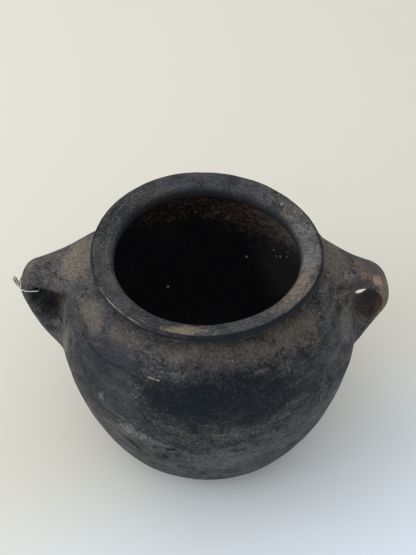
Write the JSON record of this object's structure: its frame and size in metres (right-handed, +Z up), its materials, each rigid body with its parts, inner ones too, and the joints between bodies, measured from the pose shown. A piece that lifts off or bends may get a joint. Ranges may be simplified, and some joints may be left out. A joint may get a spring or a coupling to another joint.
{
  "type": "two-handled ceramic pot",
  "caption": "Round-bellied smoke-blackened earthenware cooking pot with a thick turned-out rim, vertical strap handles and a wire tie on one handle.",
  "frame": {"origin": "centre of the flat resting face under the base", "axes": "+Z up towards the mouth, +X towards the handle without the wire, -Y towards the viewer of the picture"},
  "size_m": [0.2227, 0.1798, 0.147],
  "materials": {
    "base_clay": "matte smoked clay",
    "bowl_clay": "smoked clay with a faint burnish",
    "shoulder_clay": "smoked clay with brown patches",
    "rim_clay": "smoked clay, wiped and handled",
    "handle_clay": "smoked clay with worn reddish patches",
    "bright_wire": "bright drawn wire"
  },
  "bodies": {
    "pot": {"base_disc": "base_clay", "lower_wall": "bowl_clay", "shoulder_wall": "shoulder_clay", "rim_collar": "rim_clay", "left_handle": "handle_clay", "right_handle": "handle_clay"},
    "wire": {"tie_wire": "bright_wire"}
  },
  "joints": [
    {"name": "wire_shift", "type": "hinge", "parent": "pot", "child": "wire", "pos_m": [-0.0978, 0.0024, 0.116], "axis": [0, 1, 0], "range_deg": [-5, 40]}
  ]
}
